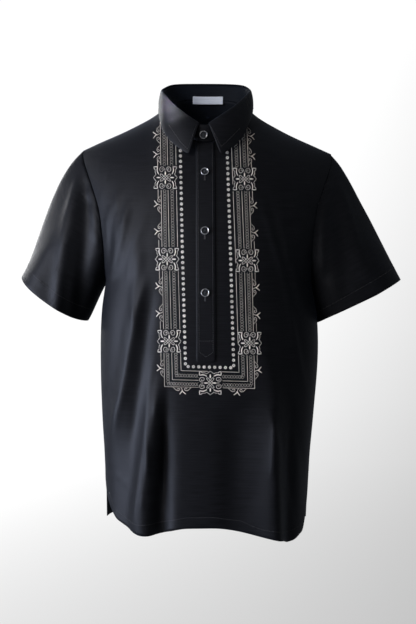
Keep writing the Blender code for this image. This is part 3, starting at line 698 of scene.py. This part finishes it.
# %% [markdown]
# ## The frame of lines and chains
#
# The ornament frames the placket like a long U. Six rails run side by side: an outer line, a
# chain, a line, a chain, an inner line, and a row of rosettes. They lean a little outwards on
# the way down, so every rail is a row of a table with its columns at three heights. A rail
# stops where a medallion sits on it.

# %% Rails
Rail = namedtuple("Rail", "name kind left_top left_mid left_low right_top right_mid right_low"
                  " low_left low_right top_left top_right")
TOP_ROW, MID_ROW = 150, 247
RAILS = rows_of(
    Rail,
    ("rosettes", "rosette", 180.3, 182.3, 185.5, 227.1, 230.3, 233.8, 366.5, 367.8, 140, 142),
    ("line_inner", "line", 175.8, 177.6, 181.1, 231.6, 235.2, 239.0, 370.6, 372.3, 136, 138),
    ("chain_inner", "chain", 171.3, 173.1, 176.4, 236.1, 240.0, 243.3, 375.4, 377.1, 131, 134),
    ("line_middle", "line", 167.3, 169.1, 172.4, 240.1, 244.0, 247.7, 379.7, 381.4, 126, 128),
    ("chain_outer", "chain", 164.2, 165.3, 168.1, 244.1, 247.7, 251.4, 383.7, 385.5, 122, 124),
    ("line_outer", "line", 160.6, 162.0, 164.6, 247.7, 251.3, 254.8, 386.6, 388.5, 120, 121),
)
LEFT, RIGHT, BOTTOM = -1, 1, 0
MEDALLION_HALF = 11.6
Medallion = namedtuple("Medallion", "column row turned")
MEDALLIONS = rows_of(
    Medallion,
    (165.3, 177.6, False), (167.2, 259.2, False), (169.2, 341.2, False),
    (244.5, 179.0, False), (247.3, 260.6, False), (249.7, 343.2, False),
    (210.3, 383.0, True),
)


def between(value, low, high):
    return low + (high - low) * value


def rail_column(rail, side, row):
    """Column of a rail's side at a row: straight to the middle, and from there to the corner."""
    if side == LEFT:
        top, mid, low, low_row = rail.left_top, rail.left_mid, rail.left_low, rail.low_left
    else:
        top, mid, low, low_row = rail.right_top, rail.right_mid, rail.right_low, rail.low_right
    if row < MID_ROW:
        return between((row - TOP_ROW) / (MID_ROW - TOP_ROW), top, mid)
    return between((row - MID_ROW) / (low_row - MID_ROW), mid, low)


def rail_path(rail, step):
    """Points down the left side, along the bottom and up the right side."""
    down = np.arange(rail.top_left, rail.low_left, step)
    up = np.arange(rail.low_right - step, rail.top_right, -step)
    count = round((rail.right_low - rail.left_low) / step)
    path = [(rail_column(rail, LEFT, row), row) for row in down]
    path += [(between(i / count, rail.left_low, rail.right_low),
              between(i / count, rail.low_left, rail.low_right)) for i in range(count + 1)]
    return path + [(rail_column(rail, RIGHT, row), row) for row in up]


def under_medallion(place):
    return any(abs(place[0] - medallion.column) < MEDALLION_HALF
               and abs(place[1] - medallion.row) < MEDALLION_HALF for medallion in MEDALLIONS)


def free_runs(path):
    """The stretches of a path that no medallion covers."""
    runs, run = [], []
    for place in path:
        if under_medallion(place):
            runs.append(run)
            run = []
        else:
            run.append(place)
    return [item for item in [*runs, run] if len(item) > 1]


LINE_HALF, CHAIN_HALF = 0.00032, 0.00022
LINK, CHAIN_SWING = 2.7, 1.6

lines = [Stroke([(place, 1.0) for place in run], LINE_HALF)
         for rail in RAILS if rail.kind == "line" for run in free_runs(rail_path(rail, 1.0))]
embroider("thread_lines", lines, front_cloth, champagne)

# %% [markdown]
# A chain is two threads that swing from side to side and cross, so that they close into a row
# of small eyes. One thread follows a sine, and the other its mirror image.

# %% Chains


def swinging(run, sign):
    """A run of places, swung to one side and back along its length."""
    places = np.array(run)
    ahead = np.gradient(places, axis=0)
    ahead /= np.linalg.norm(ahead, axis=1)[:, None]
    aside = np.stack([-ahead[:, 1], ahead[:, 0]], axis=1)
    swing = sign * CHAIN_SWING * np.sin(pi * walked_along(places) / LINK)
    return [(tuple(place), 1.0) for place in places + aside * swing[:, None]]


chains = [Stroke(swinging(run, sign), CHAIN_HALF)
          for rail in RAILS if rail.kind == "chain"
          for run in free_runs(rail_path(rail, LINK / 5)) for sign in (-1, 1)]
embroider("thread_chains", chains, front_cloth, dull)

# %% [markdown]
# ## Rosettes
#
# The innermost rail is a row of small round flowers in the brighter thread, each with eight
# satin petals round an eye. One flower is charted once and set down at even steps along its
# rail. A petal is a short stroke, wide in its middle.

# %% Rosettes
ROSETTE_STEP = 5.33
PETALS, PETAL_HALF = 8, 0.00062
PetalPoint = namedtuple("PetalPoint", "reach share")
PETAL = (PetalPoint(0.45, 0.6), PetalPoint(1.05, 1.0), PetalPoint(1.66, 0.55))


def rosette(place):
    strokes = []
    for petal in range(PETALS):
        turn = 2 * pi * petal / PETALS
        points = [((place[0] + reach * cos(turn), place[1] + reach * sin(turn)), share)
                  for reach, share in PETAL]
        strokes.append(Stroke(points, PETAL_HALF))
    return strokes


def even_steps(path, step):
    """Places at even distances along a path."""
    places = np.array(path)
    walked = walked_along(places)
    stops = np.arange(0, walked[-1], step)
    return list(zip(*(np.interp(stops, walked, along) for along in places.T)))


flowers = [place for rail in RAILS if rail.kind == "rosette"
           for place in even_steps(rail_path(rail, 1.0), ROSETTE_STEP)]
rosettes = [stroke for place in flowers for stroke in rosette(place)]
embroider("thread_rosettes", rosettes, front_cloth, silver)

# %% [markdown]
# ## Medallions
#
# Seven square medallions sit on the rails. Each is the same in its four quarters, so only one
# quarter is charted, in squares from the middle, and mirrored. The strokes are named for what
# they are: a bracket in each corner, a bowed bar, a scroll, a bar on each arm, and a knot of
# crossing loops in the middle. Bars are wide satin stitch, and the scrolls are a fine line.

# %% Medallion chart
Motif = namedtuple("Motif", "name half_width path")
QUARTER = rows_of(
    Motif,
    ("corner bar", 0.00066, ((7.4, 10.6), (9.4, 10.8), (11.6, 10.6))),
    ("corner drop", 0.00042, ((11.4, 10.2), (11.0, 8.8), (10.0, 8.0))),
    ("bowed bar", 0.00088, ((7.7, 10.2), (8.2, 8.0), (7.8, 5.6), (6.6, 3.4))),
    ("side line", 0.00030, ((10.0, 8.0), (10.2, 6.0), (9.7, 4.2), (8.8, 3.4))),
    ("side point", 0.00032, ((9.4, 3.4), (10.2, 2.2), (11.9, 0.0))),
    ("arm bar", 0.00100, ((4.9, 0.0), (6.6, 0.15), (8.6, 0.0))),
    ("spindle", 0.00095, ((0.0, 2.6), (0.15, 4.2), (0.0, 6.2))),
    ("scroll", 0.00034, ((0.6, 7.1), (1.2, 9.4), (3.0, 10.8), (5.0, 10.0), (5.6, 8.0),
     (4.6, 6.2), (2.9, 6.3), (2.0, 7.8), (2.9, 9.0), (3.8, 8.2))),
    ("loop", 0.00034, ((0.0, 0.0), (1.6, 1.6), (3.2, 3.1), (4.9, 3.6), (5.0, 2.0), (3.4, 0.9),
     (2.6, 0.0))),
    ("diamond", 0.00030, ((0.0, 2.4), (1.2, 1.6), (2.6, 0.0))),
)
MOTIF_STEPS = 4
TAPER = 0.72


def tapered(count):
    """Full width in the middle of a stroke and a little less at its ends."""
    return [TAPER + (1 - TAPER) * sin(pi * i / (count - 1)) for i in range(count)]


def motif_stroke(motif, place):
    """One stroke of the chart, carried to its place by a function."""
    fine = smooth_path(motif.path, MOTIF_STEPS)
    return Stroke([(place(a, b), share) for (a, b), share in zip(fine, tapered(len(fine)))],
                  motif.half_width)


def medallion_quarter(medallion, a_side, b_side):
    """The charted quarter on one side of the middle; a turned medallion swaps its directions."""

    def place(a, b):
        a, b = a * a_side, b * b_side
        if medallion.turned:
            a, b = b, a
        return medallion.column + a, medallion.row - b

    return [motif_stroke(motif, place) for motif in QUARTER]


medals = [stroke for medallion in MEDALLIONS for a_side in (1, -1) for b_side in (1, -1)
          for stroke in medallion_quarter(medallion, a_side, b_side)]
embroider("thread_medallions", medals, front_cloth, silver)

# %% [markdown]
# ## Leaf sprays
#
# Small sprays grow from the outer line: two curls and a pair of flicked stems. They come in
# mirrored pairs between the medallions, and two more grow down from the bottom line. One spray
# is charted along the line and away from it. Each row of the table says where a pair grows on
# its two sides and which way it leans.

# %% Sprays
SPRAY = rows_of(
    Motif,
    ("upper curl", 0.00034, ((0.4, -8.8), (1.8, -7.4), (3.3, -5.6), (3.6, -3.6), (2.5, -2.3),
     (1.3, -3.1), (1.7, -4.5), (2.6, -4.3))),
    ("lower curl", 0.00034, ((0.4, 8.8), (2.0, 7.4), (3.5, 5.4), (3.4, 3.4), (2.1, 2.5),
     (1.0, 3.5), (1.5, 4.9), (2.4, 4.6))),
    ("stem", 0.00040, ((0.3, -1.2), (1.8, -0.2), (3.4, 0.3))),
    ("flick up", 0.00072, ((3.2, 0.7), (5.2, -0.7), (7.4, -2.4))),
    ("flick down", 0.00072, ((3.4, -0.2), (5.2, 1.4), (7.0, 3.8))),
)
SprayPair = namedtuple("SprayPair", "left_row right_row lean")
SPRAY_PAIRS = rows_of(
    SprayPair,
    (134.5, 136.0, 1), (154.0, 156.0, 1), (204.5, 206.0, -1),
    (231.0, 232.5, 1), (286.5, 288.0, -1), (313.0, 315.0, 1),
    (368.5, 370.5, -1),
)
Spray = namedtuple("Spray", "side at lean")
SPRAYS = (
    *(Spray(LEFT, pair.left_row, pair.lean) for pair in SPRAY_PAIRS),
    *(Spray(RIGHT, pair.right_row, pair.lean) for pair in SPRAY_PAIRS),
    Spray(BOTTOM, 182.0, -1), Spray(BOTTOM, 237.5, 1),
)
OUTER = next(rail for rail in RAILS if rail.name == "line_outer")


def spray_strokes(spray):
    def place(out, along):
        if spray.side == BOTTOM:
            column = spray.at - along * spray.lean
            share = (column - OUTER.left_low) / (OUTER.right_low - OUTER.left_low)
            return column, between(share, OUTER.low_left, OUTER.low_right) + out
        row = spray.at + along * spray.lean
        return rail_column(OUTER, spray.side, row) + spray.side * out, row

    return [motif_stroke(motif, place) for motif in SPRAY]


sprays = [stroke for spray in SPRAYS for stroke in spray_strokes(spray)]
embroider("thread_sprays", sprays, front_cloth, champagne)

# %% [markdown]
# Short lines outside the rails tie the sprays to the medallions.

# %% Tie lines
TIE_OUT, TIE_POINTS = 3.1, 5
TIES = {
    LEFT: ((160.5, 166.5), (189.5, 198.0), (240.0, 247.8), (271.0, 279.0), (321.0, 329.5),
           (353.0, 361.5)),
    RIGHT: ((162.0, 167.8), (190.8, 199.5), (241.5, 249.2), (272.4, 280.5), (323.0, 331.5),
            (355.0, 363.0)),
}


def tie_stroke(side, start, end):
    return Stroke([((rail_column(OUTER, side, row) + side * TIE_OUT, row), 1.0)
                   for row in np.linspace(start, end, TIE_POINTS)], LINE_HALF)


ties = [tie_stroke(side, start, end) for side in TIES for start, end in TIES[side]]
embroider("thread_ties", ties, front_cloth, champagne)

# %% [markdown]
# ## Buttons
#
# Each button is turned: a dark glossy middle in a raised, silvery rim, with a cross of black
# thread. The profile is drawn as a few points and spun round. The CAD button tells where it
# sits and which way it faces: its thinnest direction is its axis.

# %% Button materials
glossy, tree, shader = new_material("button_dark_middle")
swirl = slubs(tree, object_place(tree), 260.0, (1.0, 1.0, 0.4))
fill(shader, {"Base Color": two_tones(tree, swirl, (0.006, 0.007, 0.009), (0.022, 0.026, 0.032)),
              "Roughness": 0.12, "Coat Weight": 0.6, "Coat Roughness": 0.06})

pearl, tree, shader = new_material("button_silver_rim")
wear = slubs(tree, object_place(tree), 420.0)
fill(shader, {"Base Color": two_tones(tree, wear, (0.34, 0.35, 0.37), (0.60, 0.61, 0.63)),
              "Roughness": ranged(tree, wear, 0.22, 0.36), "Metallic": 0.7})

# %% Turn the buttons
Turned = namedtuple("Turned", "radius height")
BUTTON_R, BUTTON_H = 0.0066, 0.0026
BUTTON_PROFILE = rows_of(
    Turned,
    (0.0, 0.0), (0.72, 0.0), (0.92, 0.12), (1.0, 0.45), (0.985, 0.80), (0.95, 0.97), (0.91, 1.0),
    (0.86, 0.95), (0.82, 0.80), (0.77, 0.66), (0.50, 0.60), (0.25, 0.66), (0.0, 0.68),
)
RIM_FROM = 0.82
BUTTON_STEPS = 56
HOLE_OUT = 0.0012


def button_seat(node):
    """Middle of a CAD button's back, and the way it faces."""
    points = positions(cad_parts[node].data)
    middle = (points.min(axis=0) + points.max(axis=0)) / 2
    _, _, directions = np.linalg.svd(points - points.mean(axis=0), full_matrices=False)
    facing = Vector(directions[2])
    if facing.y > 0:
        facing.negate()
    low = min((Vector(point) - Vector(middle)).dot(facing) for point in points)
    return Vector(middle) + facing * low, facing


def turned_button(node):
    seat, facing = button_seat(node)
    bm = bmesh.new()
    verts = [bm.verts.new((item.radius * BUTTON_R, 0, item.height * BUTTON_H))
             for item in BUTTON_PROFILE]
    edges = [bm.edges.new(pair) for pair in zip(verts, verts[1:])]
    bmesh.ops.spin(bm, geom=verts + edges, cent=(0, 0, 0), axis=(0, 0, 1), angle=2 * pi,
                   steps=BUTTON_STEPS, use_merge=True)
    bmesh.ops.remove_doubles(bm, verts=bm.verts, dist=1e-6)
    bmesh.ops.recalc_face_normals(bm, faces=bm.faces)
    for face in bm.faces:
        middle = face.calc_center_median()
        face.material_index = 1 if middle.xy.length > RIM_FROM * BUTTON_R else 0
        face.smooth = True
    turn = Matrix.Translation(seat) @ facing.to_track_quat("Z", "Y").to_matrix().to_4x4()
    bmesh.ops.transform(bm, matrix=turn, verts=bm.verts)
    made = settled(node + "_turned", bm)
    made.data.materials.append(glossy)
    made.data.materials.append(pearl)
    hand_over(made, "button_shell", node)
    return turn


button_turns = [turned_button(f"button_{number}") for number in range(1, 5)]
print("buttons:", len(button_turns))

# %% [markdown]
# The thread that holds a button crosses over its middle. It is a pair of short tubes, and their
# ends dip into the button where its four holes are, so that they fill them.

# %% Button threads
CrossPoint = namedtuple("CrossPoint", "out height")
CROSS = (CrossPoint(-1, 0.58), CrossPoint(-0.8, 0.72), CrossPoint(0, 0.78), CrossPoint(0.8, 0.72),
         CrossPoint(1, 0.58))
CROSS_HALF = 0.00032


def cross_strokes(turn):
    strokes = []
    for angle in (pi / 4, 3 * pi / 4):
        aside = Vector((cos(angle), sin(angle), 0)) * HOLE_OUT
        points = [(turn @ (aside * out + Vector((0, 0, height * BUTTON_H))), 1.0)
                  for out, height in CROSS]
        strokes.append(Stroke(points, CROSS_HALF))
    return strokes


crosses = [stroke for turn in button_turns for stroke in cross_strokes(turn)]
hand_over(tubes("button_threads", crosses, black_thread), "button_shell")

# %% [markdown]
# ## Button-holes and stitching
#
# A button-hole is a slit between two rows of satin stitch with a bar at each end. The three on
# the placket start behind their buttons and end a little way below them.
#
# The placket, the collar and the hems are held by rows of small stitches in black thread. Each
# stitch is a short tube that leaves the cloth and goes back in. Along the placket and the
# collar the rows follow the chart. Round a hem they follow the free edge itself: for each
# direction round the piece we find the edge, step up by the width of the hem, and look for the
# cloth from outside.

# %% Button-holes
placket_cloth = surface_of(shells["placket_upper"])
HOLE_ROWS, HOLE_POINTS, HOLE_HALF, HOLE_SIDE = (-2.6, 8.2), 12, 0.00048, 0.42
BAR_COLUMNS, BAR_HALF = (-0.9, 0.0, 0.9), 0.00055

holes = []
for turn in button_turns[1:]:
    column, row = chart_of(np.array([tuple(turn.translation)]))[0]
    for side in (-HOLE_SIDE, HOLE_SIDE):
        reach = np.linspace(*HOLE_ROWS, HOLE_POINTS)
        holes.append(Stroke([((column + side, row + step), 1.0) for step in reach], HOLE_HALF))
    for end in HOLE_ROWS:
        bar = [((column + across, row + end), 1.0) for across in BAR_COLUMNS]
        holes.append(Stroke(bar, BAR_HALF))
embroider("button_holes", holes, placket_cloth, black_thread)

# %% Rows of stitches
STITCH, STITCH_GAP = 0.0022, 0.0009
STITCH_HALF, STITCH_HEIGHT = 0.00024, 0.00022
DashPoint = namedtuple("DashPoint", "share height")
DASH = (DashPoint(0.0, -0.4), DashPoint(0.25, 1.0), DashPoint(0.75, 1.0), DashPoint(1.0, -0.4))
ROW_BREAK = 0.012
EDGE_STEPS, EDGE_SLOTS, OUTSIDE = 420, 72, 0.4


def stitches(path):
    """Dashes along an ordered list of places in space."""
    places = np.array([tuple(place) for place in path])
    walked = walked_along(places)
    made = []
    for start in np.arange(0, walked[-1] - STITCH, STITCH + STITCH_GAP):
        stops = start + STITCH * np.array([point.share for point in DASH])
        made.append(np.stack([np.interp(stops, walked, along) for along in places.T], axis=1))
    return made


def raised(dash, tree):
    """A dash with its ends in the cloth and its middle just above."""
    points = []
    for place, (_, height) in zip(dash, DASH):
        found, normal, _, _ = tree.find_nearest(Vector(place))
        points.append((found + normal * STITCH_HEIGHT * height, 1.0))
    return Stroke(points, STITCH_HALF)


def runs_of(path):
    """Split a path where a place is missing or lies far from the one before."""
    runs, run = [], []
    for place in path:
        if place is None or (run and (place - run[-1]).length > ROW_BREAK):
            runs.append(run)
            run = []
        if place is not None:
            run.append(place)
    return [item for item in [*runs, run] if len(item) > 2]


def charted_row(tree, corners):
    """A row of places on the cloth under straight lines of the chart."""
    path = []
    for (a, b), (c, d) in zip(corners, corners[1:]):
        count = max(2, round(((c - a) ** 2 + (d - b) ** 2) ** 0.5))
        for i in range(count + 1):
            path.append(on_cloth(tree, between(i / count, a, c), between(i / count, b, d)))
    return path


def edge_row(piece, tree, edge, up):
    """A row all round a piece, a little way up from its free edge."""
    front = Vector((0, -1, 0))
    side = piece.axis.cross(front)
    offsets = [place - piece.centre for place in edge]
    angles = np.array([atan2(away.dot(side), away.dot(front)) for away in offsets])
    heights = np.array([away.dot(piece.axis) for away in offsets])
    slots = np.round(angles / (2 * pi) * EDGE_SLOTS)
    keys = np.unique(slots)
    lowest = np.array([heights[slots == key].min() for key in keys])
    path = []
    for angle in np.linspace(-pi, pi, EDGE_STEPS):
        height = np.interp(angle / (2 * pi) * EDGE_SLOTS, keys, lowest) + up
        out = front * cos(angle) + side * sin(angle)
        start = piece.centre + piece.axis * height + out * OUTSIDE
        path.append(tree.ray_cast(start, -out, OUTSIDE)[0])
    return path


PLACKET_ROWS = (
    ((197.8, 128), (199.2, 352), (206.3, 357), (213.2, 352), (212.2, 128)),
    ((199.2, 341), (213.2, 341)),
)
COLLAR_ROWS = (
    ((196.4, 124.8), (187.6, 149.0), (181.0, 142.6), (168.4, 124.2)),
    ((211.2, 127.0), (221.2, 146.4), (227.6, 140.8), (240.4, 127.8)),
)
HEM_UP = {"front": 0.018, "back": 0.018, "sleeve_left": 0.024, "sleeve_right": 0.024,
          "collar_leaf": 0.0055}
LEAF_BEHIND = -0.045
trees = {piece.node: surface_of(shells[piece.node]) for piece in PIECES}
rows = [(trees[node], charted_row(trees[node], row))
        for node, charted in (("placket_upper", PLACKET_ROWS), ("collar_leaf", COLLAR_ROWS))
        for row in charted]
for piece in PIECES:
    if piece.node in HEM_UP:
        is_leaf = piece.node == "collar_leaf"
        edge = [place for place in rims[piece.node] if is_leaf or at_hem(piece, place)]
        path = edge_row(piece, trees[piece.node], edge, HEM_UP[piece.node])
        if is_leaf:
            path = [place if place is not None and place.y > LEAF_BEHIND else None
                    for place in path]
        rows.append((trees[piece.node], path))
dashes = [raised(dash, tree) for tree, path in rows for run in runs_of(path)
          for dash in stitches(run)]
hand_over(tubes("black_stitches", dashes, black_thread), "black_cloth")
print("stitches:", len(dashes))

# %% [markdown]
# The blank label is held by a few stitches at each end.

# %% Label stitches
label_tree = trees["neck_label"]
LABEL_ROWS = (((191.6, 97.6), (191.6, 103.8)), ((220.6, 97.6), (220.6, 103.8)))
label_dashes = [raised(dash, label_tree) for row in LABEL_ROWS
                for run in runs_of(charted_row(label_tree, row)) for dash in stitches(run)]
hand_over(tubes("label_stitches", label_dashes, silver), "label_cloth")
print("label stitches:", len(label_dashes))

# %% [markdown]
# ## Floor, backdrop and light
#
# The shirt is shown against a plain pale sweep: a floor that curves up into a backdrop. It
# glows by itself, white at the top left and pale grey at the bottom right, and its glow doesn't
# reach the cloth. The light is a soft lamp low on the left, so that folds turn pale on that
# side and the right side stays nearly black. A second lamp in front of it brings out the
# thread, a narrow one picks out the collar leaf on the left, and the last opens up the back.

# %% Sweep
SWEEP_WIDTH = 9.0
GLOW_SLOPE, GLOW_MIDDLE, GLOW_LEAST = (-0.25, 0.12, 0.12), 0.739, 0.45
SWEEP = ((-4.0, -1.02), (1.6, -1.02), (2.3, -0.98), (2.8, -0.78), (3.1, -0.42), (3.2, 0.2),
         (3.2, 3.6))

bm = bmesh.new()
row = [bm.verts.new((-SWEEP_WIDTH / 2, y, z)) for y, z in SWEEP]
edges = [bm.edges.new(pair) for pair in zip(row, row[1:])]
pulled = bmesh.ops.extrude_edge_only(bm, edges=edges)
moved = [item for item in pulled["geom"] if isinstance(item, bmesh.types.BMVert)]
bmesh.ops.translate(bm, vec=(SWEEP_WIDTH, 0, 0), verts=moved)
bmesh.ops.recalc_face_normals(bm, faces=bm.faces)
sweep = settled("sweep", bm)
paper, tree, shader = new_material("white_paper")
slope = add_node(tree, "VectorMath", {0: object_place(tree), 1: GLOW_SLOPE},
                 operation="DOT_PRODUCT")
glow = maths(tree, "ADD", slope.outputs["Value"], GLOW_MIDDLE)
capped = add_node(tree, "Clamp", {"Value": glow, "Min": GLOW_LEAST})
fill(shader, {"Base Color": (0.03, 0.03, 0.03, 1), "Roughness": 0.9, "Specular IOR Level": 0.0,
              "Emission Color": (1, 1, 1, 1), "Emission Strength": capped.outputs[0]})
sweep.data.materials.append(paper)
sweep.visible_diffuse = False
sweep.visible_glossy = False
shade_smooth(sweep.data)

# %% Lamps
Lamp = namedtuple("Lamp", "name place aim size power colour spread")
LAMPS = rows_of(
    Lamp,
    ("key", (-2.8, -0.90, -0.75), (0.0, 0.0, -0.55), 1.2, 162, (0.78, 0.83, 1.0), 180),
    ("front", (-2.4, -2.3, 0.7), (0.0, 0.0, -0.3), 1.5, 78, (1.0, 0.94, 0.92), 180),
    ("collar", (-1.2, -1.7, 0.8), (-0.073, -0.07, 0.015), 0.03, 0.15, (1.0, 0.95, 1.0), 2),
    ("back_left", (-2.2, 2.2, 1.0), (0.0, 0.0, -0.35), 1.6, 60, (1.0, 1.0, 1.0), 180),
)
for lamp in LAMPS:
    light = bpy.data.lights.new(lamp.name, "AREA")
    light.size = lamp.size
    light.energy = lamp.power
    light.color = lamp.colour
    light.spread = radians(lamp.spread)
    hung = new_object(lamp.name, light)
    hung.location = lamp.place
    aim = Vector(lamp.aim) - Vector(lamp.place)
    hung.rotation_euler = aim.to_track_quat("-Z", "Y").to_euler()

world = bpy.data.worlds.new("studio")
world.use_nodes = True
fill(world.node_tree.nodes["Background"], {"Color": (0.9, 0.93, 1.0, 1), "Strength": 0.15})
bpy.context.scene.world = world
bpy.context.scene.view_settings.view_transform = "Standard"
print("lamps:", len(LAMPS))
